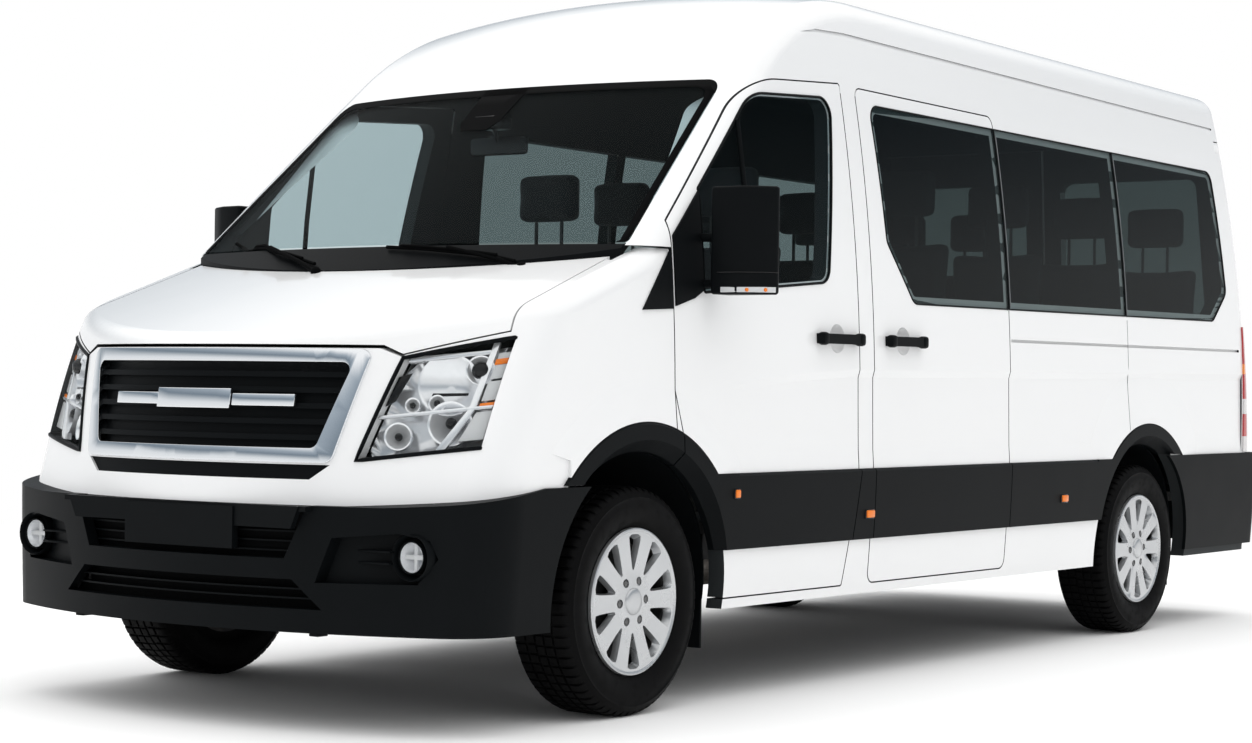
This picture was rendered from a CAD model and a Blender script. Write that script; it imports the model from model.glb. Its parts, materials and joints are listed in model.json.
# %% [markdown]
# # Dressing a minibus
# The solid model of the minibus is already packed: sixty plain pieces, each on the moving body that
# carries it. This lesson gives those pieces their paint, glass, plastic and metal, and adds what a
# solid model leaves out: wheel covers, tread, lamp insides, seats, wipers and handles.

# %% Opening the frame
import json
import math

import bpy
from mathutils import Matrix, Vector


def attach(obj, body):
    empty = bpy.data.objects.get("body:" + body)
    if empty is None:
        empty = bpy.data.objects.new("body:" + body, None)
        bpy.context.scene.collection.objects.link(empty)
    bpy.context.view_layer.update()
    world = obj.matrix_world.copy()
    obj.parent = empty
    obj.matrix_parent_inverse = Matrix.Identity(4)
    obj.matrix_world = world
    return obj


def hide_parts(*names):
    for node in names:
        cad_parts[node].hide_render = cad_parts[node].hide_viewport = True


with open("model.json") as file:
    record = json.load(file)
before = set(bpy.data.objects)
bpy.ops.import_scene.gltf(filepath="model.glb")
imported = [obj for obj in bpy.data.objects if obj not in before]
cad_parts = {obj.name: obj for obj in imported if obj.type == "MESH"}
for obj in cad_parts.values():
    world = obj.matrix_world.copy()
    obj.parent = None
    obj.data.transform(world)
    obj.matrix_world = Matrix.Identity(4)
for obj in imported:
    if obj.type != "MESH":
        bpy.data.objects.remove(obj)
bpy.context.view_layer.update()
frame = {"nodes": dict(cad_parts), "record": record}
nodes = frame["nodes"]
print("pieces in the frame:", len(nodes))

# %% [markdown]
# Makers measure a vehicle in millimetres from its front axle, while the frame is in metres from
# under the middle. One small function turns the first into the second, so that every number below
# can be checked against a tape measure.

# %% Measuring
AXLE = 1.951
REAR_AXLE = -3665


def at(x, y, z):
    """A point in millimetres from the front axle, as Blender's metres."""
    return Vector((x / 1000 + AXLE, y / 1000, z / 1000))


def mm(*lengths):
    """Lengths or a direction in millimetres, as metres."""
    return Vector([length / 1000 for length in lengths])


# %% [markdown]
# ## The camera
# A long lens stands level with the lamps, ahead of the left corner. A camera looks along its own
# -Z, so its matrix is built from the way it looks, its right and its up, and turned a little about
# the way it looks.

# %% Camera
EYE = Vector((8.399, 5.536, 1.020))
YAW, PITCH, ROLL = math.radians(35.60), math.radians(0.26), math.radians(0.75)
look = Vector((-math.cos(YAW) * math.cos(PITCH), -math.sin(YAW) * math.cos(PITCH), math.sin(PITCH)))
level = look.cross(Vector((0, 0, 1))).normalized()
upward = level.cross(look)
right = level * math.cos(ROLL) + upward * math.sin(ROLL)
up = upward * math.cos(ROLL) - level * math.sin(ROLL)
lens = bpy.data.cameras.new("camera")
lens.sensor_width = 36
lens.lens = 74.24
camera = bpy.data.objects.new("camera", lens)
camera.matrix_world = Matrix.Translation(EYE) @ Matrix((right, up, -look)).transposed().to_4x4()
bpy.context.scene.collection.objects.link(camera)
bpy.context.scene.camera = camera
bpy.context.scene.view_settings.view_transform = "Standard"
print("camera at", tuple(EYE))

# %% [markdown]
# ## Writing materials as sums
# A material is a net of nodes. Wiring each one by hand takes a dozen lines, so one small class
# wraps a socket and lets Python's own signs add the Math nodes, and one method makes every other
# node. What follows then reads like the sum it stands for.


# %% Shader maths
class Signal:
    """One value inside a material. Sums on it add Math nodes."""

    def __init__(self, finish, socket):
        self.finish, self.socket = finish, socket

    def maths(self, operation, first, second=0.0):
        """One Math node."""
        return self.finish.node("Math", {"operation": operation}, {0: first, 1: second})

    def __add__(self, other):
        return self.maths("ADD", self, other)

    def __sub__(self, other):
        return self.maths("SUBTRACT", self, other)

    def __rsub__(self, other):
        return self.maths("SUBTRACT", other, self)

    def __mul__(self, other):
        return self.maths("MULTIPLY", self, other)

    def __truediv__(self, other):
        return self.maths("DIVIDE", self, other)

    def __gt__(self, other):
        return self.maths("GREATER_THAN", self, other)

    def __lt__(self, other):
        return self.maths("LESS_THAN", self, other)

    def __or__(self, other):
        return self.maths("MAXIMUM", self, other)

    def __abs__(self):
        return self.maths("ABSOLUTE", self)

    __radd__ = __add__
    __rmul__ = __mul__


class Finish:
    """A material on its way: its net of nodes and what it ends in."""

    def __init__(self, name):
        self.material = bpy.data.materials.new(name)
        self.material.use_nodes = True
        self.tree = self.material.node_tree
        self.tree.nodes.clear()
        self.place = self.node("TexCoord", out=3)
        self.x, self.y, self.z = (self.node("SeparateXYZ", {}, {0: self.place}, axis) for axis in range(3))

    def node(self, kind, settings=(), sockets=(), out=0):
        """Any node: its settings first, then the values or links of its sockets."""
        made = self.tree.nodes.new("ShaderNode" + kind)
        for name, value in dict(settings).items():
            if name == "stops":
                while len(made.color_ramp.elements) < len(value):
                    made.color_ramp.elements.new(1)
                for stop, (position, colour) in zip(made.color_ramp.elements, value):
                    stop.position, stop.color = position, (*colour, 1)
            else:
                setattr(made, name, value)
        for name, value in dict(sockets).items():
            if isinstance(value, Signal):
                self.tree.links.new(value.socket, made.inputs[name])
            else:
                made.inputs[name].default_value = value
        return Signal(self, made.outputs[out])

    def noise(self, scale, detail=2.0, stretch=(1, 1, 1)):
        """Cloudy variation from 0 to 1, with so many lumps a metre."""
        spot = self.node("Mapping", {}, {"Vector": self.place, "Scale": stretch})
        return self.node("TexNoise", {}, {"Vector": spot, "Scale": scale, "Detail": detail})

    def blend(self, share, first, second):
        """From the first colour to the second."""
        ends = [(*end, 1) if isinstance(end, tuple) else end for end in (first, second)]
        return self.node("Mix", {"data_type": "RGBA"}, {0: share, 6: ends[0], 7: ends[1]}, 2)

    def rise(self, value, low, high):
        """0 below low, 1 above high, and a smooth slope between."""
        settings = {"interpolation_type": "SMOOTHSTEP"}
        return self.node("MapRange", settings, {"Value": value, "From Min": low, "From Max": high})

    def bump(self, height, strength, distance, under=None):
        """Relief from a height, over an earlier relief when one is given."""
        sockets = {"Strength": strength, "Distance": distance, "Height": height}
        if under is not None:
            sockets["Normal"] = under
        return self.node("Bump", {}, sockets)

    def surface(self, colour, roughness, **sockets):
        """A Principled surface. Socket names are written with _ for spaces."""
        inputs = {name.replace("_", " "): value for name, value in sockets.items()}
        colour = (*colour, 1) if isinstance(colour, tuple) else colour
        return self.node("BsdfPrincipled", {}, {"Base Color": colour, "Roughness": roughness, **inputs})

    def done(self, shader):
        """Ends the net in this shader and gives the material."""
        output = self.tree.nodes.new("ShaderNodeOutputMaterial")
        self.tree.links.new(shader.socket, output.inputs["Surface"])
        return self.material


# %% [markdown]
# ## Light and floor
# A white studio is mostly one huge soft lamp. The world gives that level light, a little brighter
# from above so that the roof and the flanks differ. What the camera sees of it is plain white, and
# shiny metal sees a sky with a grey band, which is what makes chrome read as chrome.

# %% World
world = bpy.data.worlds.new("studio")
bpy.context.scene.world = world
world.use_nodes = True
sky = Finish.__new__(Finish)
sky.tree = world.node_tree
sky.tree.nodes.clear()
height = sky.node("SeparateXYZ", {}, {0: sky.node("TexCoord")}, 2)
LIGHT_STOPS = (
    (0.0, (0.48, 0.48, 0.49)), (0.5, (0.56, 0.57, 0.58)), (0.75, (0.92, 0.92, 0.92)), (1.0, (2.3, 2.3, 2.29)),
)
MIRROR_STOPS = (
    (0.0, (0.85, 0.85, 0.85)), (0.5, (1.0, 1.0, 1.0)), (0.56, (0.86, 0.88, 0.9)),
    (0.63, (0.20, 0.25, 0.30)), (0.69, (0.42, 0.48, 0.54)), (0.76, (1.1, 1.1, 1.1)),
)
lamp_light = sky.node("ValToRGB", {"stops": LIGHT_STOPS}, {0: height * 0.5 + 0.5})
mirrored = sky.node("ValToRGB", {"stops": MIRROR_STOPS}, {0: height * 0.5 + 0.5})
by_camera, by_metal, through_glass = (sky.node("LightPath", out=ray) for ray in (0, 3, 6))
seen = sky.blend(by_camera | through_glass, sky.blend(by_metal, lamp_light, mirrored), (1.0, 1.0, 1.0))
glow = sky.node("Background", {}, {"Color": seen, "Strength": 1.0})
end = sky.tree.nodes.new("ShaderNodeOutputWorld")
sky.tree.links.new(glow.socket, end.inputs["Surface"])
print("world: light in", len(LIGHT_STOPS), "steps, reflections in", len(MIRROR_STOPS))

# %% Floor
FLOOR_SIZE = 120
bpy.ops.object.select_all(action="DESELECT")
bpy.ops.mesh.primitive_plane_add(size=FLOOR_SIZE)
floor = bpy.context.active_object
floor.name = "floor"
pale = Finish("pale_floor")
away = pale.node("VectorMath", {"operation": "LENGTH"}, {0: pale.place}, 1)
far = pale.rise(away, 4.5, 9.0)
matt = pale.surface((0.93, 0.93, 0.93), 0.9)
plain = pale.node("Emission", {}, {"Color": (1, 1, 1, 1), "Strength": 1.0})
floor.data.materials.append(pale.done(pale.node("MixShader", {}, {0: far, 1: matt, 2: plain})))
print("floor", FLOOR_SIZE, "m across")

# %% [markdown]
# ## Finishes
# Each slot of the record gets one material. All of them take their patterns from the object's own
# coordinates, which every piece shares, so grain and weave keep one size over the whole vehicle.
#
# Paint first: a white coat under clear lacquer, with the slightly wavy skin of sprayed paint and a
# little dust low down. The same panels are dark trim wherever they look into the cabin, and black
# under the tail, and the place and the normal of a face tell which it is.


# %% Body paint
def body_paint():
    """White outside, dark trim inside, picked by where a face is and which way it looks."""
    paint = Finish("body_paint")
    facing = paint.node("TexCoord", out=1)
    along, across, upwards = (paint.node("SeparateXYZ", {}, {0: facing}, axis) for axis in range(3))
    to_the_middle = (across * paint.y < -0.02) * (abs(paint.y) > 0.55)
    ceiling = (upwards < -0.2) * (paint.z > 1.9)
    tail_inside = (along > 0.5) * (paint.x < -2.6)
    door_reveal = (abs(across) < 0.15) * (abs(paint.y) > 0.85) * (paint.z < 2.04)
    door_reveal = door_reveal * (paint.x > -2.75) * (paint.x < 1.85)
    under_tail = (paint.x < -2.1) * (paint.z < 0.335)
    inside = to_the_middle | ceiling | tail_inside | door_reveal | under_tail
    dust = (1 - paint.rise(paint.z, 0.24, 0.50)) * paint.noise(3, 3)
    white = paint.blend(dust * 0.06, (0.81, 0.815, 0.82), (0.68, 0.67, 0.65))
    trim = paint.blend(paint.noise(700, 2), (0.010, 0.013, 0.014), (0.020, 0.024, 0.026))
    skin = paint.bump(paint.noise(260, 1), 0.03, 0.001)
    rough = 0.16 + dust * 0.12 + paint.noise(3, 2) * 0.05 + inside * 0.5
    shader = paint.surface(
        paint.blend(inside, white, trim), rough, Normal=skin,
        Coat_Weight=(1 - inside) * 0.5, Coat_Roughness=0.04, Specular_IOR_Level=0.45,
    )
    return paint.done(shader)


# %% [markdown]
# Window glass is a thin pane, so nothing bends behind it. Mixing a see-through shader, tinted as
# the glass is, with a dark mirror-smooth one gives the tint and the reflection in two numbers.


# %% Glass
def pane(name, tint, share):
    """Flat glass that lets tint through, with share of it acting as a dark mirror."""
    glass = Finish(name)
    smear = glass.noise(5, 3)
    mirror = glass.surface((0.002, 0.004, 0.0045), 0.02 + smear * 0.03, Specular_IOR_Level=0.35)
    clear = glass.node("BsdfTransparent", {}, {"Color": (*tint, 1)})
    return glass.done(glass.node("MixShader", {}, {0: share, 1: clear, 2: mirror}))


# %% [markdown]
# The dark plastic of bumpers and trim is moulded with a fine leather grain. Fine noise in the bump
# gives the grain, and a broad one varies the shine, as on parts that are wiped by hand.


# %% Moulded plastic
def moulded(name, dark, light, roughness, grain=900, depth=0.25, shine=0.12):
    """Plastic between two tones, with so many grains a metre."""
    plastic = Finish(name)
    cloud = plastic.noise(6, 4)
    fine = plastic.noise(grain, 3)
    relief = plastic.bump(fine, depth, 0.0006)
    tone = plastic.blend(cloud * 0.7 + fine * 0.3, dark, light)
    rough = roughness + cloud * 0.1
    return plastic.done(plastic.surface(tone, rough, Normal=relief, Specular_IOR_Level=shine))


# %% [markdown]
# Metals differ in colour, polish and what has been done to them: chrome is almost a mirror, the
# wheel's silver is lacquered over fine flakes, castings are rough and pipes are brushed and stained.


# %% Metals
def metal(name, colour, roughness, flake=0.0, stained=0.0, metallic=1.0):
    """Metal of one colour, with flakes in its lacquer or brown stains if wanted."""
    bare = Finish(name)
    cloud = bare.noise(9, 4)
    sparkle = bare.noise(2600, 1)
    tone = bare.blend(bare.rise(cloud, 0.45, 0.75) * stained, colour, (0.10, 0.09, 0.08))
    relief = bare.bump(sparkle, 0.05 + flake, 0.0003)
    rough = roughness + cloud * 0.08 * (1 + stained * 3)
    return bare.done(bare.surface(tone, rough, Metallic=metallic, Normal=relief))


# %% [markdown]
# Rubber is nearly black, dull, and greyer where the road has scuffed it.


# %% Rubber
def rubber():
    """Tyre rubber with scuffs."""
    tyre = Finish("tyre_rubber")
    scuff = tyre.rise(tyre.noise(30, 5), 0.45, 0.8)
    tone = tyre.blend(scuff, (0.0012, 0.0012, 0.0014), (0.004, 0.004, 0.004))
    relief = tyre.bump(tyre.noise(500, 3), 0.2, 0.0008)
    return tyre.done(tyre.surface(tone, 0.6 + scuff * 0.25, Normal=relief, Specular_IOR_Level=0.08))


# %% [markdown]
# Seat cloth is woven. Two sets of waves at right angles, one for each thread, give the weave, and
# a flat-weave speckle of two greys gives its colour.


# %% Seat cloth
def cloth():
    """Woven cloth from two crossed sets of waves."""
    seat = Finish("seat_cloth")
    thread = {"Vector": seat.place, "Scale": 320.0, "Distortion": 0.6}
    weft, warp = (seat.node("TexWave", {"bands_direction": axis}, thread, 1) for axis in ("Y", "Z"))
    weave = weft * warp
    speckle = seat.noise(420, 3)
    tone = seat.blend(speckle, (0.012, 0.014, 0.016), (0.05, 0.055, 0.06))
    return seat.done(seat.surface(tone, 0.85, Normal=seat.bump(weave, 0.5, 0.001), Sheen_Weight=0.15))


# %% [markdown]
# A rear lamp is one moulding with coloured zones one above another, and vertical ribs behind the
# lens. The zones come from height alone.


# %% Lamp lenses
def lens_plastic(name, zones, low, high):
    """A lens with coloured zones between two heights, ribbed behind its skin."""
    shell = Finish(name)
    share = shell.node("MapRange", {}, {"Value": shell.z, "From Min": low, "From Max": high})
    tone = shell.node("ValToRGB", {"stops": zones}, {0: share})
    tone.socket.node.color_ramp.interpolation = "CONSTANT"
    ribs = shell.node("TexWave", {"bands_direction": "Y"}, {"Vector": shell.place, "Scale": 60.0}, 1)
    relief = shell.bump(ribs, 0.25, 0.002)
    return shell.done(shell.surface(tone, 0.08, Normal=relief, Coat_Weight=0.6, Coat_Roughness=0.03))


RED, SMOKE, AMBER = (0.42, 0.008, 0.012), (0.62, 0.60, 0.60), (0.80, 0.22, 0.02)
TAIL_ZONES = ((0.0, SMOKE), (0.12, RED), (0.30, SMOKE), (0.42, RED), (0.62, AMBER), (0.70, RED))

# %% The set of finishes
finishes = {
    "body_paint": body_paint(),
    "tinted_glass": pane("tinted_glass", (0.53, 0.59, 0.59), 0.28),
    "clear_glass": pane("clear_glass", (0.824, 0.88, 0.89), 0.08),
    "lamp_lens": pane("lamp_lens", (0.985, 0.99, 0.99), 0.04),
    "red_lens": lens_plastic("red_lens", TAIL_ZONES, 0.748, 1.311),
    "chrome_trim": metal("chrome_trim", (0.78, 0.80, 0.82), 0.05),
    "black_plastic": moulded(
        "black_plastic", (0.0025, 0.0032, 0.0037), (0.005, 0.006, 0.0068), 0.38, shine=0.05),
    "tyre_rubber": rubber(),
    "wheel_silver": metal("wheel_silver", (0.52, 0.53, 0.54), 0.24, flake=0.06, metallic=0.8),
    "chassis_black": metal("chassis_black", (0.02, 0.02, 0.021), 0.5, stained=0.7, metallic=0.2),
    "cast_metal": metal("cast_metal", (0.20, 0.20, 0.20), 0.55, flake=0.3, stained=0.8),
    "pipe_steel": metal("pipe_steel", (0.38, 0.35, 0.32), 0.38, stained=0.9),
    "dash_plastic": moulded("dash_plastic", (0.018, 0.020, 0.022), (0.034, 0.037, 0.040), 0.62, 500, 0.4),
    "seat_cloth": cloth(),
    "lamp_silver": metal("lamp_silver", (0.90, 0.91, 0.93), 0.16, metallic=0.6),
    "lamp_frost": moulded("lamp_frost", (0.52, 0.53, 0.54), (0.64, 0.65, 0.66), 0.22, 300, 0.1, 0.5),
    "lamp_dark": moulded("lamp_dark", (0.004, 0.0045, 0.005), (0.008, 0.008, 0.009), 0.14, 300, 0.05, 0.3),
    "deep_black": moulded(
        "deep_black", (0.0012, 0.0014, 0.0015), (0.003, 0.0032, 0.0035), 0.7, 300, 0.05, 0.04),
    "sealed_joint": moulded("sealed_joint", (0.16, 0.17, 0.18), (0.22, 0.23, 0.24), 0.5),
    "amber_lens": moulded("amber_lens", (0.75, 0.15, 0.01), (0.90, 0.24, 0.02), 0.15, 250, 0.2, 0.4),
}
slot_of = {entry["node"]: entry["material_slot"] for entry in frame["record"]["subparts"]}
for name, piece in nodes.items():
    piece.data.materials.clear()
    piece.data.materials.append(finishes[slot_of[name]])
print("finishes:", len(finishes))

# %% [markdown]
# ## Hand tools
# The added pieces are modelled as by hand: a line is drawn, filled and pulled, or turned about an
# axis, and its edges are rounded. These few functions hold the operators that every piece uses, with
# everything else deselected first, because an operator works on all that is selected.


# %% Hand tools
MERGE = 0.00005


def alone(*pieces):
    """Select only these, the first one active."""
    bpy.ops.object.select_all(action="DESELECT")
    for piece in pieces:
        piece.select_set(True)
    bpy.context.view_layer.objects.active = pieces[0]


def editing(piece, kind="VERT", chosen=None):
    """Edit mode on one piece, with all of it selected or the faces that chosen picks."""
    alone(piece)
    bpy.ops.object.mode_set(mode="EDIT")
    bpy.ops.mesh.select_mode(type=kind)
    bpy.ops.mesh.select_all(action="DESELECT" if chosen else "SELECT")
    if chosen:
        bpy.ops.object.mode_set(mode="OBJECT")
        for face in piece.data.polygons:
            face.select = chosen(face)
        bpy.ops.object.mode_set(mode="EDIT")


def shut(piece):
    """Merge what coincides, point the faces outwards and leave edit mode."""
    bpy.ops.mesh.select_all(action="SELECT")
    bpy.ops.mesh.remove_doubles(threshold=MERGE)
    bpy.ops.mesh.normals_make_consistent(inside=False)
    bpy.ops.object.mode_set(mode="OBJECT")
    return piece


def reshaped(piece, operator, **values):
    """Run one operator on everything in a piece."""
    editing(piece)
    operator(**values)
    bpy.ops.object.mode_set(mode="OBJECT")
    return piece


def started(name, primitive, **values):
    """A new piece from one of the primitives."""
    bpy.ops.object.select_all(action="DESELECT")
    primitive(**values)
    piece = bpy.context.active_object
    piece.name = piece.data.name = name
    return piece


def pen(name, points):
    """A line drawn from point to point: one vertex, extruded along."""
    piece = started(name, bpy.ops.mesh.primitive_plane_add, size=0.01)
    editing(piece)
    bpy.ops.mesh.merge(type="CENTER")
    bpy.ops.transform.translate(value=points[0])
    for here, there in zip(points, points[1:]):
        bpy.ops.mesh.extrude_vertices_move(TRANSFORM_OT_translate={"value": there - here})
    bpy.ops.object.mode_set(mode="OBJECT")
    return piece


def pulled(name, points, push, taper=None):
    """A closed outline, filled and pulled through, its far end scaled about a point if wanted."""
    piece = pen(name, [*points, points[0]])
    editing(piece)
    bpy.ops.mesh.remove_doubles(threshold=MERGE)
    bpy.ops.mesh.edge_face_add()
    bpy.ops.mesh.extrude_region_move(TRANSFORM_OT_translate={"value": push})
    if taper:
        share, centre = taper
        bpy.ops.transform.resize(value=(share, share, share), center_override=centre)
    return shut(piece)


def turned(name, points, centre, axis, steps=48):
    """A line turned all the way round an axis."""
    piece = pen(name, points)
    editing(piece)
    bpy.ops.mesh.spin(steps=steps, angle=2 * math.pi, center=centre, axis=axis)
    return shut(piece)


def around(piece, count, centre, axis):
    """The piece repeated in a full circle."""
    turn = 2 * math.pi * (count - 1) / count
    return reshaped(
        piece, bpy.ops.mesh.spin, steps=count - 1, dupli=True, angle=turn, center=centre, axis=axis)


def modified(piece, kind, **settings):
    """Add one modifier with its settings and apply it."""
    alone(piece)
    modifier = piece.modifiers.new(kind, kind)
    for name, value in settings.items():
        setattr(modifier, name, value)
    bpy.ops.object.modifier_apply(modifier=modifier.name)
    return piece


def smooth(piece, angle=35):
    """Shade a piece smooth except where it bends more than an angle."""
    alone(piece)
    bpy.ops.object.shade_smooth_by_angle(angle=math.radians(angle))
    return piece


def rounded(piece, width, segments=2, sharper=28):
    """Round every edge that bends more than an angle."""
    modified(
        piece, "BEVEL", width=width / 1000, segments=segments, limit_method="ANGLE",
        angle_limit=math.radians(sharper), use_clamp_overlap=True,
    )
    return smooth(piece)


def copied(piece, name, shift=(0, 0, 0), mirror=False):
    """A copy with its own mesh, moved, or mirrored to the other side."""
    copy = piece.copy()
    copy.data = piece.data.copy()
    copy.name = copy.data.name = name
    bpy.context.scene.collection.objects.link(copy)
    editing(copy)
    bpy.ops.transform.translate(value=shift)
    if mirror:
        bpy.ops.transform.resize(value=(1, -1, 1), center_override=(0, 0, 0))
        bpy.ops.mesh.flip_normals()
    bpy.ops.object.mode_set(mode="OBJECT")
    return copy


def skin(name, node, wanted):
    """The faces of a plain solid that wanted picks, as a new piece."""
    piece = reshaped(copied(nodes[node], name), bpy.ops.mesh.remove_doubles, threshold=MERGE)
    editing(piece, "FACE", lambda face: not wanted(face))
    bpy.ops.mesh.delete(type="FACE")
    bpy.ops.object.mode_set(mode="OBJECT")
    return piece


def tube(piece, radius, fineness=1, capped=False):
    """A line of edges as a round tube."""
    alone(piece)
    bpy.ops.object.convert(target="CURVE")
    curve = bpy.context.active_object.data
    curve.bevel_depth, curve.bevel_resolution, curve.use_fill_caps = radius / 1000, fineness, capped
    bpy.ops.object.convert(target="MESH")
    return bpy.context.active_object


def piping(piece, radius):
    """The rim of an open skin as a tube."""
    editing(piece, "FACE")
    bpy.ops.mesh.region_to_loop()
    bpy.ops.mesh.select_all(action="INVERT")
    bpy.ops.mesh.delete(type="EDGE_FACE")
    bpy.ops.object.mode_set(mode="OBJECT")
    return smooth(tube(piece, radius), 60)


def painted(piece, finish):
    """Give a piece one finish, in place of what it had."""
    piece.data.materials.clear()
    piece.data.materials.append(finishes[finish])
    return piece


def joined(name, **groups):
    """Several pieces as one. Each group is named after its finish."""
    pieces = [painted(piece, finish) for finish, group in groups.items() for piece in group]
    alone(*pieces)
    bpy.ops.object.join()
    pieces[0].name = pieces[0].data.name = name
    return pieces[0]


def fitted(piece, body, hides=()):
    """Hang a finished piece on its body, and hide the plain pieces that it stands for."""
    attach(piece, body)
    if hides:
        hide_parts(*hides)
    return piece


def rod(name, path, radius, sides=8):
    """A round bar along a line of points."""
    piece = tube(pen(name, path), radius, sides // 4, capped=True)
    piece.name = piece.data.name = name
    editing(piece)
    return smooth(shut(piece), 50)


def block(name, low, high, round_to=2):
    """A box between two corners, with rounded edges."""
    piece = started(name, bpy.ops.mesh.primitive_cube_add, size=1)
    editing(piece)
    bpy.ops.transform.resize(value=high - low, center_override=(0, 0, 0))
    bpy.ops.transform.translate(value=(low + high) / 2)
    bpy.ops.object.mode_set(mode="OBJECT")
    return rounded(piece, round_to)


# %% [markdown]
# ## Tyres
# A tyre's section is drawn once and turned. The tread is a ring of separate rubber blocks on the
# carcass, so one row of five blocks is drawn and repeated round the wheel. The shoulder blocks wrap
# over the edge, which is what shows from the side.

# %% Tyre
HUB = at(0, 855, 352)
ACROSS = (0, 1, 0)
TYRE_SECTION = (
    (93, 206), (95, 228), (104, 240), (106, 243), (113, 262), (117, 285), (116, 300), (113, 312),
    (113.5, 318), (114.5, 320), (113, 322), (106, 333), (99, 340), (90, 344), (52, 345),
)
SHOULDER_BLOCK = (
    (56, 343), (56, 351.8), (82, 351.6), (94, 347.5), (103, 338), (106, 331), (100, 331), (88, 341),
)
MIDDLE_BLOCK = ((20, 343), (20, 352), (48, 352), (48, 343))
TREAD_ROWS = (
    (SHOULDER_BLOCK, 1, 25), (SHOULDER_BLOCK, -1, 25), (MIDDLE_BLOCK, 1, 27), (MIDDLE_BLOCK, -1, 27),
    (((-13, 343), (-13, 352), (13, 352), (13, 343)), 1, 29),
)
PITCHES = 64


def on_wheel(out, radius, angle=90.0, along=0.0):
    """A point on the left front wheel, from its middle plane, its axle and the angle round it."""
    turn = math.radians(angle)
    outwards, onwards = (math.cos(turn), math.sin(turn)), (-math.sin(turn), math.cos(turn))
    x, z = (radius * reach + along * step for reach, step in zip(outwards, onwards))
    return HUB + mm(x, out, z)


def tyre():
    """The left front tyre: a turned carcass and a ring of tread blocks."""
    section = [on_wheel(out, radius) for out, radius in TYRE_SECTION]
    inner = [on_wheel(-out, radius) for out, radius in reversed(TYRE_SECTION)]
    carcass = turned("tyre", [*section, *inner], HUB, ACROSS, 72)
    smooth(carcass, 40)
    blocks = []
    for index, (outline, side, length) in enumerate(TREAD_ROWS):
        points = [on_wheel(side * out, radius, 90, -length / 2 + 6 * (index % 2)) for out, radius in outline]
        tread = pulled("tread", points, mm(-length, 0, 0))
        blocks.append(rounded(tread, 1.2, 1))
    tread = around(joined("tread", tyre_rubber=blocks), PITCHES, HUB, ACROSS)
    return joined("tyre", tyre_rubber=[carcass, tread])


front_tyre = tyre()
print("tyre faces:", len(front_tyre.data.polygons))

# %% [markdown]
# ## Wheel covers
# The cover is one silver dish. Ten pockets are sunk into it, wide at the rim and pointed at the
# middle, with sloping walls and a dark hole at the bottom: what is left between them are the broad
# spokes. One tapered cutter, repeated ten times and subtracted, makes all the pockets alike. Six
# nuts sit in round wells about a plain cap, and the black steel wheel shows behind.

# %% Wheel cover
COVER_SECTION = (
    (104, 0), (104, 50), (101, 78), (103, 120), (107, 190), (106.5, 214), (109, 218), (110, 221),
    (108, 225), (98, 227), (92, 220), (84, 200), (80, 78), (80, 0),
)
POCKET = ((89, 4), (106, 10), (145, 21), (185, 31), (205, 34), (213, 19), (214, 0))
CAP_SECTION = ((104, 46), (102, 43), (107, 41), (110, 37), (112, 20), (112.5, 0))
STEEL_SECTION = (
    (90, 221), (80, 206), (72, 200), (-88, 196), (-93, 206), (-93, 204), (-86, 186), (40, 186),
    (52, 150), (52, 60), (70, 60), (70, 0),
)
BACK_SECTION = ((-5, 0), (-5, 78), (40, 78), (40, 130), (46, 150))
NUTS, SPOKES, NUT_CIRCLE, FIRST_NUT, WELL_RADIUS, NUT_RADIUS = 6, 10, 68, 57, 14, 10


def turned_wheel(name, section, steps):
    """A section given as (out, radius), turned about the left front wheel's axle."""
    return turned(name, [on_wheel(*point) for point in section], HUB, ACROSS, steps)


def wheel_cover():
    """The left front cover with its nuts, and the steel wheel behind it."""
    cover = turned_wheel("cover", COVER_SECTION, 80)
    half = [on_wheel(120, radius, 90, along) for radius, along in POCKET]
    other = [on_wheel(120, radius, 90, -along) for radius, along in reversed(POCKET[:-1])]
    pocket = pulled("pocket", [*half, *other], mm(0, -48, 0), (0.62, on_wheel(72, 147)))
    pockets = around(pocket, SPOKES, HUB, ACROSS)
    well_line = [on_wheel(out, NUT_CIRCLE - WELL_RADIUS, FIRST_NUT) for out in (92, 120)]
    well = turned("well", well_line, on_wheel(0, NUT_CIRCLE, FIRST_NUT), ACROSS, 20)
    editing(well)
    bpy.ops.mesh.edge_face_add()
    bpy.ops.mesh.select_all(action="DESELECT")
    bpy.ops.mesh.select_mode(type="EDGE")
    bpy.ops.mesh.select_non_manifold()
    bpy.ops.mesh.fill_holes(sides=0)
    wells = around(shut(well), NUTS, HUB, ACROSS)
    for cutter in (pockets, wells):
        modified(cover, "BOOLEAN", object=cutter, operation="DIFFERENCE", solver="EXACT")
        bpy.data.objects.remove(cutter)
    rounded(cover, 2.2, 2, 24)
    cap = smooth(turned_wheel("cap", CAP_SECTION, 48))
    centre = on_wheel(90, NUT_CIRCLE, FIRST_NUT)
    turns = [math.radians(60 * corner) for corner in range(6)]
    corners = [centre + mm(math.cos(turn), 0, math.sin(turn)) * NUT_RADIUS for turn in turns]
    nut = rounded(pulled("nut", corners, mm(0, 12, 0)), 1.5, 2)
    nuts = around(nut, NUTS, HUB, ACROSS)
    steel = smooth(turned_wheel("steel", STEEL_SECTION, 56))
    back = smooth(turned_wheel("back", BACK_SECTION, 32))
    return joined("wheel_cover", wheel_silver=[cover, cap], cast_metal=[nuts], chassis_black=[steel, back])


front_cover = wheel_cover()
print("wheel cover faces:", len(front_cover.data.polygons))

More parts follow.
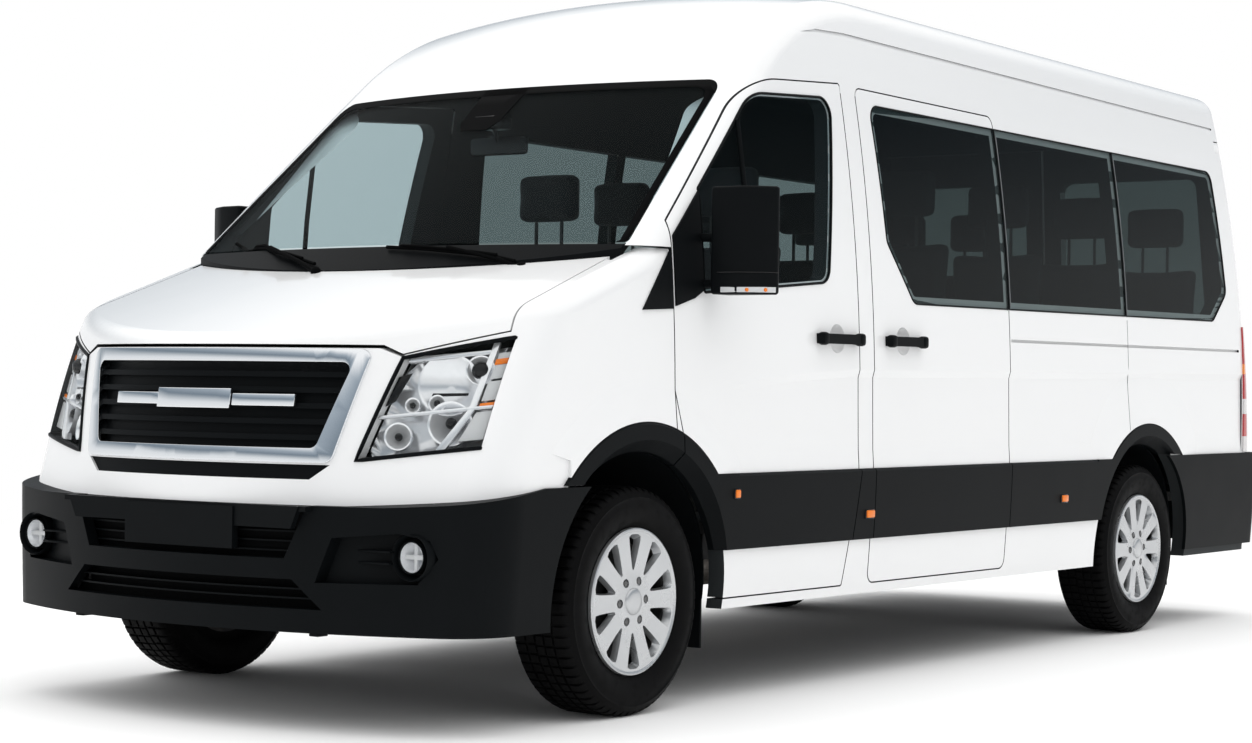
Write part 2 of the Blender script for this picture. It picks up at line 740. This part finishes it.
# %% Four wheels
for end, station in (("front", 0), ("rear", REAR_AXLE)):
    for side in ("left", "right"):
        for kind, slot, model in (("tyre", "tyre_rubber", front_tyre), ("rim", "wheel_silver", front_cover)):
            piece = copied(model, f"{kind}_{end}_{side}_look", mm(station, 0, 0), side == "right")
            fitted(piece, f"wheel_{end}_{side}", [f"{kind}_{end}_{side}"])
for model in (front_tyre, front_cover):
    bpy.data.objects.remove(model)
print("four wheels with", PITCHES, "rows of tread and", SPOKES, "pockets each")

# %% [markdown]
# ## Headlamps
# A headlamp is a clear cover over a bright bowl. The plain solid has the right outline, so its own
# front skin is copied: once as the cover, once pulled inwards and narrowed as the bowl, and its edge
# once as the black seal. Places inside are given as shares of the lamp's width and height, so that
# the reflectors stay put if the lamp's corners move.

# %% Headlamp frame
LAMP_CORNERS = (at(852, 572, 784), at(684, 903, 825), at(740, 660, 1092), at(553, 922, 1142))
low_edge, high_edge = LAMP_CORNERS[1] - LAMP_CORNERS[0], LAMP_CORNERS[3] - LAMP_CORNERS[2]
LAMP_OUT = (low_edge + high_edge).cross(LAMP_CORNERS[2] - LAMP_CORNERS[0]).normalized()


def in_lamp(across, upwards, depth):
    """A point in the left lamp: shares of its width and height, and millimetres behind the cover."""
    low = LAMP_CORNERS[0].lerp(LAMP_CORNERS[1], across)
    high = LAMP_CORNERS[2].lerp(LAMP_CORNERS[3], across)
    return low.lerp(high, upwards) - LAMP_OUT * depth / 1000


def lamp_front(face):
    """True for a face of the left lamp's front, but for its lower edge."""
    return face.center.y >= 0 and face.normal.dot(LAMP_OUT) >= 0.45 and face.center.z >= 0.775


def dish(name, centre, radius, depth, steps=32):
    """A reflector: a bowl turned about the lamp's own direction."""
    side = LAMP_OUT.cross(Vector((0, 0, 1))).normalized()
    line = [
        centre + side * radius * share / 1000 + LAMP_OUT * depth * (share ** 2 - 1) / 1000
        for share in (0.0, 0.2, 0.4, 0.6, 0.8, 0.95, 1.0)
    ]
    line.append(centre + side * (radius + 4) / 1000 + LAMP_OUT * 0.001)
    line.append(centre + side * (radius + 4) / 1000 - LAMP_OUT * 0.02)
    return smooth(turned(name, line, centre, LAMP_OUT, steps), 60)


def ball(name, centre, radius, flatten=1.0):
    """A round body, flattened along the vehicle if wanted."""
    piece = started(
        name, bpy.ops.mesh.primitive_uv_sphere_add, segments=20, ring_count=12, radius=radius / 1000)
    editing(piece)
    bpy.ops.transform.resize(value=(flatten, 1, 1), center_override=(0, 0, 0))
    bpy.ops.transform.translate(value=centre)
    bpy.ops.object.mode_set(mode="OBJECT")
    return smooth(piece, 60)


def lamp_plate(name, corners, depth, thick):
    """A flat plate in the lamp from corner shares."""
    points = [in_lamp(across, upwards, depth) for across, upwards in corners]
    return rounded(pulled(name, points, -LAMP_OUT * thick / 1000), 1.5, 2)


# %% Headlamp
DISHES = (
    ("main_dish", (0.52, 0.66, 18), 88, 46, 32), ("side_dish", (0.76, 0.76, 14), 40, 22, 32),
    ("dip_dish", (0.66, 0.28, 14), 62, 44, 32), ("park_dish", (0.26, 0.21, 14), 37, 26, 32),
    ("eye_dish_a", (0.27, 0.50, 16), 19, 12, 20), ("eye_dish_b", (0.48, 0.49, 16), 22, 14, 20),
)
BARS = (
    ("ledge", ((0.02, 0.40), (0.98, 0.38), (0.98, 0.41), (0.02, 0.43)), 6, 22),
    ("divider", ((0.80, 1.0), (0.86, 1.0), (0.84, 0.4), (0.70, 0.03), (0.62, 0.03), (0.78, 0.4)), 6, 26),
    ("brow", ((0.06, 0.93), (0.80, 0.90), (0.80, 0.94), (0.06, 0.98)), 8, 40),
)
FROSTED = (
    ((0.88, 0.90), (0.985, 0.90), (0.985, 0.66), (0.87, 0.66)),
    ((0.865, 0.64), (0.985, 0.64), (0.985, 0.46), (0.86, 0.46)),
    ((0.85, 0.36), (0.985, 0.36), (0.985, 0.10), (0.78, 0.10)),
)
AMBERS = (
    ((0.87, 0.845), (0.985, 0.845), (0.985, 0.79), (0.87, 0.79)),
    ((0.86, 0.44), (0.985, 0.44), (0.985, 0.39), (0.86, 0.39)),
)
BULBS = (
    ("projector", (0.76, 0.76, 20), 27), ("bulb_shade", (0.66, 0.29, 30), 17), ("eye_a", (0.27, 0.50, 16), 9),
    ("eye_b", (0.48, 0.49, 16), 10), ("park_bulb", (0.26, 0.21, 26), 12),
)
SHADES = (
    ("louvre", ((0.03, 0.80), (0.14, 0.82), (0.10, 0.56), (0.03, 0.52)), 14, 8),
    ("shadow_bar", ((0.40, 0.60), (0.72, 0.56), (0.72, 0.535), (0.40, 0.57)), 22, 8),
)


def lamp_bowl():
    """The lamp's front skin pulled inwards and narrowed, open to the front."""
    bowl = skin("lamp_bowl", "headlamps", lamp_front)
    editing(bowl, "FACE")
    bpy.ops.mesh.extrude_region_move(TRANSFORM_OT_translate={"value": -LAMP_OUT * 0.075})
    bpy.ops.transform.resize(value=(0.93, 0.93, 0.93), center_override=in_lamp(0.5, 0.5, 75))
    bpy.ops.mesh.hide(unselected=False)
    bpy.ops.mesh.select_all(action="SELECT")
    bpy.ops.mesh.delete(type="ONLY_FACE")
    bpy.ops.mesh.reveal()
    bpy.ops.object.mode_set(mode="OBJECT")
    return smooth(modified(bowl, "SOLIDIFY", thickness=0.002, offset=-1), 30)


def headlamp():
    """The left headlamp: cover, bowl and seal, and what stands in the bowl."""
    cover = modified(skin("lamp_cover", "headlamps", lamp_front), "SOLIDIFY", thickness=0.003, offset=-1)
    bright = [dish(name, in_lamp(*spot), radius, deep, steps) for name, spot, radius, deep, steps in DISHES]
    bright += [lamp_plate(*bar) for bar in BARS]
    dark = [ball(name, in_lamp(*spot), radius) for name, spot, radius in BULBS]
    dark += [lamp_plate(*shade) for shade in SHADES]
    return joined(
        "headlamp_left", lamp_lens=[smooth(cover, 40)], lamp_silver=[lamp_bowl(), *bright],
        black_plastic=[piping(skin("lamp_seal", "headlamps", lamp_front), 6.5)],
        lamp_frost=[lamp_plate("frosted", corners, 12, 10) for corners in FROSTED],
        amber_lens=[lamp_plate("amber", corners, 9, 12) for corners in AMBERS], lamp_dark=dark,
    )


lamp = headlamp()
fitted(copied(lamp, "headlamp_right", mirror=True), "body")
fitted(lamp, "body", ["headlamps"])
print("headlamp faces:", len(lamp.data.polygons))

# %% [markdown]
# ## Fog lamps
# Each is a small round reflector with a clear domed glass, held in a dark ring. They are turned
# about a line that runs straight ahead.


# %% Fog lamp
def turned_ahead(name, points, y, z, steps=36):
    """A line of (station, radius) points turned about a line that runs ahead."""
    centre = at(0, y, z)
    return smooth(turned(name, [at(x, y, z + radius) for x, radius in points], centre, (1, 0, 0), steps), 50)


def fog_lamp():
    """The left fog lamp, with a cross of shades behind its glass."""
    y, z = 783, 517
    bowl = turned_ahead("fog_bowl", ((838, 46), (840, 43), (826, 40), (806, 26), (796, 10), (795, 0)), y, z)
    glass = turned_ahead("fog_glass", ((838, 44), (843, 41), (848, 28), (851, 12), (852, 0)), y, z)
    ring = turned_ahead("fog_ring", ((820, 48), (842, 49), (846, 46), (843, 43), (838, 43), (838, 46)), y, z)
    well = turned_ahead("fog_well", ((790, 50), (846, 62), (852, 66), (848, 69), (800, 69), (786, 52)), y, z)
    cross = [
        block("fog_shade", at(812, y - 40, z - 7), at(826, y + 40, z + 7)),
        block("fog_post", at(812, y - 6, z - 40), at(824, y + 6, z + 40)),
    ]
    return joined(
        "fog_lamp_left", lamp_silver=[bowl], black_plastic=[ring, well], lamp_lens=[glass], lamp_frost=cross)


fog = fog_lamp()
fitted(copied(fog, "fog_lamp_right", mirror=True), "body")
fitted(fog, "body", ["fog_lamps"])
print("fog lamp faces:", len(fog.data.polygons))

# %% [markdown]
# ## Fitting onto the panels
# Small parts lie on curved panels. Instead of working out each place, a ray finds the panel's
# surface, and a tube can follow the rim of any plain solid's face. So trim stays on its panel when
# the panel's shape is changed.


# %% Fitting tools
def onto(node, start, way, lift=0.0):
    """The spot where a ray meets a plain solid, and a little outwards."""
    hit, spot, normal, _ = nodes[node].ray_cast(start, way)
    if not hit:
        raise ValueError(f"nothing of {node} lies that way from {tuple(start)}")
    return spot + normal * lift / 1000


def from_side(node, x, z, lift=0.0):
    """A spot on the left side of a plain solid."""
    return onto(node, at(x, 1400, z), Vector((0, -1, 0)), lift)


def hugging(points, lift, among=("windscreen", "cowl_panel")):
    """Each point moved to the nearest spot of some plain solids, then lifted off it."""
    spots = []
    for point in points:
        found = [nodes[node].closest_point_on_mesh(point) for node in among]
        _, spot, normal, _ = min(found, key=lambda hit: (hit[1] - point).length)
        spots.append(spot + normal * lift / 1000)
    return spots


def on_left(face):
    """True for a face of the left side that looks outwards."""
    return face.center.y > 0 and face.normal.y > 0.6


def placed(piece, name, body):
    """A left piece and its mirror image. A body named left has its own on the right."""
    fitted(copied(piece, f"{name}_right", mirror=True), body.replace("left", "right"))
    piece.name = piece.data.name = f"{name}_left"
    fitted(piece, body)


# %% [markdown]
# ## Nose
# The openings of the bumper are backed by a dark sheet, bent like the bumper and set well back, with
# thin fins before it, so that they read as deep. The numbers of a fin are its two heights, half its
# width, the radius of its bend and its thickness.

# %% Bumper openings
BEND_CENTRE = -1086
BACK = (345, 700, 545, 2036, 5)
FINS = (
    (520, 525, 470, 2052, 24), (548, 553, 470, 2052, 24), (576, 581, 470, 2052, 24),
    (385, 390, 480, 2066, 30), (412, 417, 480, 2066, 30),
)
RIBS = (
    (585, 722, 493, 838, 868, 7, 2.5), (585, 722, 527, 838, 868, 7, 2.5), (470, 505, 279, 880, 925, 13, 3),
)


def bent(name, low, high, half, radius, thick, steps=12):
    """A sheet that follows the bumper's bend between two heights."""
    def arc(r):
        """The lower edge at one radius."""
        widths = [half * (2 * index / steps - 1) for index in range(steps + 1)]
        return [at(BEND_CENTRE + math.sqrt(r * r - y * y), y, low) for y in widths]

    return pulled(name, [*arc(radius), *reversed(arc(radius - thick))], mm(0, 0, high - low))


fins = [bent("fin", *fin) for fin in FINS]
for side in (-1, 1):
    for inner, outer, height, back, front, tall, round_to in RIBS:
        first, last = sorted((side * inner, side * outer))
        fins.append(block("rib", at(back, first, height), at(front, last, height + tall), round_to))
nose_dark = joined("bumper_depth", deep_black=[bent("bumper_back", *BACK)], black_plastic=fins)
fitted(nose_dark, "body")
print("ribs and fins in the bumper:", len(fins))

# %% [markdown]
# The bright bar of the grille is in three lengths with the middle one taller, and the bright frame
# gets its rounded edges from one bevel. The bar leans as the grille does.

# %% Grille
BAR_HEIGHT, BAR_LEAN, BAR_THICK = 958, 0.15, 12
LENGTHS = ((-150, 150, 931, 990, 12), (-368, -154, 940, 976, 7), (154, 368, 940, 976, 7))


def bar_length(first, last, low, high, proud):
    """One length of the bright bar, standing proud of the frame behind it."""
    def line(shift):
        """The lower edge, moved forward from the frame."""
        lean = mm(shift + (BAR_HEIGHT - low) * BAR_LEAN, 0, low - BAR_HEIGHT)
        starts = [at(1400, first + (last - first) * index / 6, BAR_HEIGHT) for index in range(7)]
        return [onto("grille_frame", start, Vector((-1, 0, 0))) + lean for start in starts]

    push = mm((low - high) * BAR_LEAN, 0, high - low)
    return rounded(pulled("bar", [*line(proud), *reversed(line(proud - BAR_THICK))], push), 2.5, 3)


def frame_only(face):
    """True for a face of the frame and not of the plain bar within it."""
    return abs(face.center.z - BAR_HEIGHT / 1000) > 0.024 or abs(face.center.y) > 0.38


frame_look = skin("grille_frame_look", "grille_frame", frame_only)
reshaped(frame_look, bpy.ops.mesh.dissolve_limited, angle_limit=math.radians(0.6))
rounded(frame_look, 5, 3)
grille_look = joined("grille_bright", chrome_trim=[frame_look, *[bar_length(*length) for length in LENGTHS]])
fitted(grille_look, "body", ["grille_frame"])
grille_back = block("grille_back", at(700, -500, 800), at(706, 500, 1075), 1)
fitted(painted(grille_back, "deep_black"), "body")
print("grille faces:", len(grille_look.data.polygons))

# %% [markdown]
# ## Door mirrors
# The housing is one moulding with generous rounding on two arms. A seam runs round it above the
# clear indicator strip, which has two amber spots, and the glass faces backwards.

# %% Mirrors
HOUSING = ((-302, 1022), (-310, 1118), (-348, 1188), (-392, 1220), (-410, 1212), (-410, 1022))
STRIP = ((-305, 1060), (-312, 1118), (-350, 1190), (-384, 1216))
GROOVE = ((-301, 1050), (-308.5, 1118), (-320, 1142), (-346, 1188), (-380, 1214), (-392, 1220))
GLASS_RIM = ((1040, 1326), (1200, 1326), (1200, 1624), (1040, 1624), (1040, 1326))
SPOTS = ((-326, 1146), (-356, 1196))


def mirror():
    """The left door mirror."""
    housing = rounded(pulled("housing", [at(x, y, 1303) for x, y in HOUSING], mm(0, 0, 340)), 30, 6)
    seam = rod("seam", [at(x, y, 1372) for x, y in GROOVE], 1.6)
    bends = [[at(-328, 975, z + 4), at(-330, 1010, z + 2), at(-336, 1060, z)] for z in (1334, 1480)]
    arms = [rod("arm", bend, 14, 12) for bend in bends]
    outer = [at(x + 1.5, y + 2, 1309) for x, y in STRIP]
    inner = [at(x - 8, y - 6, 1309) for x, y in reversed(STRIP)]
    strip = rounded(pulled("strip", [*outer, *inner], mm(0, 0, 17)), 2)
    glass = block("mirror_glass", at(-413, 1042, 1328), at(-409, 1198, 1622), 1)
    rim = rod("rim", [at(-411, y, z) for y, z in GLASS_RIM], 3.5)
    return joined(
        "mirror", black_plastic=[housing, *arms, rim], lamp_dark=[seam], lamp_frost=[strip],
        amber_lens=[ball("spot", at(x, y, 1317), 6.5) for x, y in SPOTS], chrome_trim=[glass],
    )


mirror_look = mirror()
mirror_right = copied(mirror_look, "mirror_right_look", mirror=True)
fitted(mirror_right, "front_door_right_leaf", ["mirror_right"])
mirror_look.name = mirror_look.data.name = "mirror_left_look"
fitted(mirror_look, "front_door_left_leaf", ["mirror_left"])
print("mirror faces:", len(mirror_look.data.polygons))

# %% [markdown]
# ## Windscreen
# The glass has a black printed border with a patch at the top middle that hides the sensor. Border
# and patch are cut from a thin copy of the glass itself.

# %% Printed border
BORDER = (
    (-880, 1462), (-860, 1448), (-800, 1442), (800, 1442), (860, 1448), (880, 1462),
    (806, 1960), (790, 1990), (756, 2002), (-756, 2002), (-790, 1990), (-806, 1960),
)
PATCH = ((-70, 2040), (-58, 1900), (-30, 1868), (80, 1868), (108, 1900), (120, 2040))


def printed(name, outline, operation):
    """A thin layer on the windscreen, inside or outside a front view outline."""
    sheet = skin(name, "windscreen", lambda face: face.normal.x > 0.2 and face.normal.z > 0.1)
    modified(sheet, "SOLIDIFY", thickness=0.0012, offset=1)
    cutter = pulled("cutter", [at(-1300, y, z) for y, z in outline], mm(1900, 0, 0))
    modified(sheet, "BOOLEAN", object=cutter, operation=operation, solver="EXACT")
    bpy.data.objects.remove(cutter)
    return sheet


border = printed("screen_border", BORDER, "DIFFERENCE")
patch = printed("screen_patch", PATCH, "INTERSECT")
behind = [
    block("sensor", at(-500, -25, 1880), at(-400, 75, 1925), 12),
    rod("mirror_stalk", [at(-450, 25, 1900), at(-470, 25, 1860), at(-480, 25, 1835)], 9),
    block("inside_mirror", at(-500, -95, 1795), at(-472, 145, 1858), 12),
]
fitted(joined("screen_border", deep_black=[border, patch], lamp_dark=behind), "body")
print("border faces:", len(border.data.polygons))

# %% [markdown]
# The wipers are parked along the foot of the glass. Each blade is laid over the nearest spots of
# glass and cowl, so it bends as they do.


# %% Wipers
def wiper(name, far_end, near_end, count=9):
    """A blade that hugs the glass, with an arm from a pivot beside its near end."""
    line = [far_end.lerp(near_end, index / (count - 1)) for index in range(count)]
    blade = rod(f"{name}_blade", hugging(line, 9), 6)
    spine = rod(f"{name}_spine", hugging(line[1:-1], 19), 4.5)
    foot = hugging([near_end + mm(20, 34, -22)], 16)[0]
    hold = hugging([line[count // 2]], 26)[0]
    arm = rod(f"{name}_arm", [foot, foot.lerp(hold, 0.3) + mm(6, 0, 8), hold], 7)
    return [blade, spine, arm, ball(f"{name}_cap", foot, 19, 0.8)]


wipers = wiper("wiper_a", at(26, -705, 1473), at(221, -165, 1387))
wipers += wiper("wiper_b", at(164, 92, 1440), at(152, 600, 1394))
fitted(joined("wipers", deep_black=wipers), "body")
print("wiper parts:", len(wipers))

# %% [markdown]
# ## Doors and sides
# The side glass sits in rubber, so a dark tube follows the rim of each pane, and a dark bar parts
# the front door's glass.

# %% Window rubbers
DOOR_GLASS = "front_door_glass_left"
side_rubber = piping(skin("pane_rubber", "side_glass", on_left), 3.2)
placed(painted(side_rubber, "black_plastic"), "pane_rubber", "body")
door_rubber = piping(skin("door_rubber", DOOR_GLASS, on_left), 5)
bar_spots = [from_side(DOOR_GLASS, x, z, 4) for x, z in ((-600, 1340), (-598, 1600), (-596, 1880))]
door_rubber = joined("door_rubber", black_plastic=[door_rubber, rod("door_bar", bar_spots, 9)])
placed(door_rubber, "door_rubber", "front_door_left_leaf")
print("door rubber faces:", len(door_rubber.data.polygons))

# %% [markdown]
# A light line marks where two panes meet, and the roof and the long side panel show the narrow
# sealed joints between their pressings.

# %% Joint lines
PANE_JOINTS, ROOF_SEAMS = (-2429, -3479), (-1370, -2410)
lines = [rod("pane_joint", [from_side("side_glass", x, 1330 + 60 * step, 2) for step in range(12)], 2.2)
         for x in PANE_JOINTS]
placed(joined("pane_joint", sealed_joint=lines), "pane_joint", "body")
seams = [rod("panel_seam", [from_side("side_panel_left", -3480, z) for z in range(852, 1310, 38)], 1.3)]
for station in ROOF_SEAMS:
    turns = [(math.cos(a), math.sin(a)) for a in map(math.radians, range(34, 147, 4))]
    starts = [(at(station, 1500 * y, 1900 + 1500 * z), Vector((0, -y, -z))) for y, z in turns]
    seams.append(rod("roof_seam", [onto("roof_panel", *start) for start in starts], 1.6))
fitted(joined("panel_seams", sealed_joint=seams), "body")
print("sealed joints:", len(lines) * 2 + len(ROOF_SEAMS) + 1)

# %% [markdown]
# Handles get thicker ends, and amber marker lamps stand proud of the cladding on dark bases.


# %% Handles and markers
def handle_ends(node, *stations):
    """The thick ends of a pull handle on a door."""
    spots = [from_side(node, x, 1180) for x in stations]
    return [block("handle_end", spot + mm(-19, 4, -22), spot + mm(19, 36, 22), 11) for spot in spots]


def marker(node, x, z, half, tall=13):
    """The dark base and the amber lens of a marker lamp."""
    spot = from_side(node, x, z)
    base = block("marker_base", spot + mm(-half - 4, -4, -tall - 4), spot + mm(half + 4, 4, tall + 4), 3)
    return base, block("marker_lens", spot + mm(-half, -2, -tall), spot + mm(half, 9, tall), 4)


base, lens = marker("door_trim_left", -500, 670, 13)
ends = handle_ends("front_door_left", -1260, -1017)
front_handle = joined("front_handle", black_plastic=ends, lamp_dark=[base], amber_lens=[lens])
placed(front_handle, "front_handle", "front_door_left_leaf")
slider = joined("sliding_handle_ends", black_plastic=handle_ends("sliding_door", -1705, -1480))
fitted(slider, "body")
bases, lenses = zip(marker("body_cladding", -1350, 577, 26), marker("body_cladding", -2872, 587, 26))
placed(joined("side_marker", lamp_dark=bases, amber_lens=lenses), "side_marker", "body")
print("marker lamps:", 2 * (1 + len(lenses)))

# %% [markdown]
# ## Tail
# The rear doors get outside hinges, a pull handle and a blank place for a plate.


# %% Rear details
def on_rear(name, node, y0, y1, z0, z1, proud, round_to=3, sunk=10):
    """A block standing out of a rear door."""
    spot = onto(node, at(-5300, (y0 + y1) / 2, (z0 + z1) / 2), Vector((1, 0, 0)))
    low, high = at(0, y0, z0), at(0, y1, z1)
    low.x, high.x = spot.x - proud / 1000, spot.x + sunk / 1000
    return block(name, low, high, round_to)


hinges = [on_rear("rear_hinge", "rear_door_left", 800, 850, z, z + 70, 16, 8) for z in (620, 1180, 1830)]
placed(joined("rear_hinges", black_plastic=hinges), "rear_hinges", "rear_door_left_leaf")
rear_handle = on_rear("rear_handle", "rear_door_right", -210, -60, 1060, 1100, 26, 10)
plate_place = on_rear("plate_place", "rear_door_right", -620, -130, 820, 960, 5, 6)
rear_handle = joined("rear_handle", black_plastic=[rear_handle, plate_place])
fitted(rear_handle, "rear_door_right_leaf")
print("rear hinges:", 2 * len((620, 1180, 1830)))

# %% [markdown]
# ## Cabin
# The seats are upholstered. A plain block is blown up a little with the cloth solver, which swells
# the middle of each face and leaves the edges tight, as foam under cloth does. How far a point may
# move is capped.


# %% Upholstery
CAP, GRAIN, LAST_STEP = 0.012, 0.008, 12


def upholstered(name, low, high):
    """A block swollen by the cloth solver, with the swelling capped."""
    piece = block(name, low, high, 26)
    modified(piece, "REMESH", mode="VOXEL", voxel_size=GRAIN)
    start = [vertex.co.copy() for vertex in piece.data.vertices]
    alone(piece)
    solver = piece.modifiers.new("cloth", "CLOTH")
    solver.settings.quality = 3
    solver.settings.use_pressure = True
    solver.settings.uniform_pressure_force = 4.0
    solver.settings.effector_weights.gravity = 0
    solver.point_cache.frame_start, solver.point_cache.frame_end = 1, LAST_STEP
    for step in range(1, LAST_STEP + 1):
        bpy.context.scene.frame_set(step)
    bpy.ops.object.modifier_apply(modifier=solver.name)
    bpy.context.scene.frame_set(1)
    for vertex, place in zip(piece.data.vertices, start):
        moved = vertex.co - place
        if moved.length > CAP:
            vertex.co = place + moved.normalized() * CAP
    return smooth(modified(piece, "SMOOTH", factor=0.5, iterations=3), 80)


# %% [markdown]
# There are three kinds of seat, and each kind's cushion, backrest and head restraints are made once
# and copied to their places. A kind is given as its width, the height of its cushion, its places and
# where across it the sewn channels run.

# %% Seats
ROWS = (-2080, -2860, -3640, -4400)
KINDS = {
    "front": (500, 980, ((-1230, -400), (-1230, 400)), (0.2, 0.8)),
    "bench": (820, 1020, [(x, -470) for x in ROWS], (0.1, 0.42, 0.5, 0.58, 0.9)),
    "single": (430, 1020, [(x, 650) for x in ROWS], (0.2, 0.8)),
}
CUSHION_DEPTH, BACK_HEIGHT, BACK_LEAN = 110, 560, math.radians(3.2)


def cushion(kind, width, top, channels):
    """A seat cushion with sewn channels laid on it as thin piping."""
    half = width / 2 - 12
    pad = upholstered(f"{kind}_cushion", at(-8, -half, top - CUSHION_DEPTH + 10), at(428, half, top - 14))
    across = [width * (share - 0.5) for share in channels]
    lines = [[at(30, y, top - 6), at(222.5, y, top), at(415, y, top - 6)] for y in across]
    return joined(f"{kind}_cushion", seat_cloth=[pad, *[rod("seam", line, 3) for line in lines]])


def backrest(kind, width, top):
    """A backrest, turned about its foot so that its top lies further back."""
    half = width / 2 - 12
    pad = upholstered(f"{kind}_back", at(-100, -half, top - 46), at(-40, half, top + BACK_HEIGHT - 12))
    reshaped(pad, bpy.ops.transform.rotate, value=BACK_LEAN, orient_axis="Y", center_override=at(-70, 0, top))
    return painted(pad, "seat_cloth")


def restraints(low, heads):
    """Head restraints on pairs of posts."""
    pads = [upholstered("rest", at(-136, y - 132, low + 88), at(-66, y + 132, low + 262)) for y in heads]
    stands = [y + side * 60 for y in heads for side in (-1, 1)]
    posts = [rod("post", [at(-100, y, low - 30), at(-100, y, low + 110)], 7) for y in stands]
    return joined("rest", seat_cloth=pads, cast_metal=posts)


padded_pieces = 0
for kind, (width, top, spots, channels) in KINDS.items():
    heads = (-width / 4, width / 4) if kind == "bench" else (0,)
    models = (
        ("cushion", "seat_cushions", cushion(kind, width, top, channels)),
        ("back", "seat_backs", backrest(kind, width, top)),
        ("rest", "head_restraints", restraints(top + BACK_HEIGHT, heads)),
    )
    for index, (x, y) in enumerate(spots):
        for part, node, model in models:
            piece = copied(model, f"{kind}_{part}_{index}", mm(x, y, 0))
            fitted(piece, "body", [node])
            padded_pieces += 1
    for _, _, model in models:
        bpy.data.objects.remove(model)
print("padded pieces:", padded_pieces)

# %% [markdown]
# ## Controls
# The steering wheel gets a round soft rim, a hub pad and three spokes. It is drawn lying flat about
# the hub and then tilted to face along the column.

# %% Steering wheel
WHEEL_HUB = at(-520, -400, 1190)
TILT = math.radians(40)
RIM_RADIUS, RIM_THICK = 0.188, 0.0152
SPOKE_CORNERS = (
    ((-12, -182, -10), (22, -66, 6)), ((-12, 66, -10), (22, 182, 6)), ((-182, -14, -10), (-52, 14, 6)),
)
rim = started(
    "rim", bpy.ops.mesh.primitive_torus_add,
    major_radius=RIM_RADIUS, minor_radius=RIM_THICK, major_segments=72, minor_segments=14)
smooth(reshaped(rim, bpy.ops.transform.translate, value=WHEEL_HUB), 60)
pad = block("pad", WHEEL_HUB + mm(-62, -78, -40), WHEEL_HUB + mm(66, 78, 14), 18)
spokes = [block("spoke", WHEEL_HUB + mm(*low), WHEEL_HUB + mm(*high), 6) for low, high in SPOKE_CORNERS]
keys = [block("keys", WHEEL_HUB + mm(-8, y - 22, 4), WHEEL_HUB + mm(18, y + 22, 9), 3) for y in (-112, 112)]
wheel_look = joined("steering_wheel_look", dash_plastic=[rim, pad, *spokes], lamp_dark=keys)
reshaped(wheel_look, bpy.ops.transform.rotate, value=TILT, orient_axis="Y", center_override=WHEEL_HUB)
fitted(wheel_look, "steering_wheel_body", ["steering_wheel"])
print("steering wheel faces:", len(wheel_look.data.polygons))

# %% [markdown]
# The dashboard gets a hood over its dials, four vents with vanes, a blank screen and a bin lid.

# %% Dashboard
VENTS = (-840, -160, 160, 840)
dash_parts = [block("hood", at(-330, -560, 1262), at(-150, -240, 1345), 24)]
dash_parts += [block("vent_frame", at(-398, y - 62, 1195), at(-330, y + 62, 1262), 10) for y in VENTS]
dash_parts.append(block("bin", at(-402, 230, 1080), at(-360, 720, 1175), 12))
slots = [(y, z) for y in VENTS for z in (1208, 1220, 1232, 1244)]
dark_parts = [block("vane", at(-401, y - 52, z), at(-380, y + 52, z + 5), 1.5) for y, z in slots]
dark_parts.append(block("screen", at(-404, -110, 1120), at(-380, 110, 1250), 6))
dark_parts.append(block("dials", at(-334, -530, 1275), at(-320, -270, 1328), 6))
dash_look = joined("dash_details", dash_plastic=dash_parts, lamp_dark=dark_parts)
fitted(dash_look, "body")
print("dashboard parts:", len(dash_parts) + len(dark_parts))

# %% [markdown]
# ## Behind the wheels
# Brake discs stand behind the wheels, and they turn with them.

# %% Brake discs
DISC_SECTION = ((-28, 60), (-28, 148), (-42, 148), (-42, 60), (-28, 60))
for end, station in (("front", 0), ("rear", REAR_AXLE)):
    disc = smooth(turned_wheel("disc", DISC_SECTION, 48))
    reshaped(disc, bpy.ops.transform.translate, value=mm(station, 0, 0))
    painted(disc, "cast_metal")
    for side in ("left", "right"):
        piece = copied(disc, f"brake_disc_{end}_{side}", mirror=side == "right")
        fitted(piece, f"wheel_{end}_{side}")
    bpy.data.objects.remove(disc)
print("disc radius", DISC_SECTION[1][1], "mm")
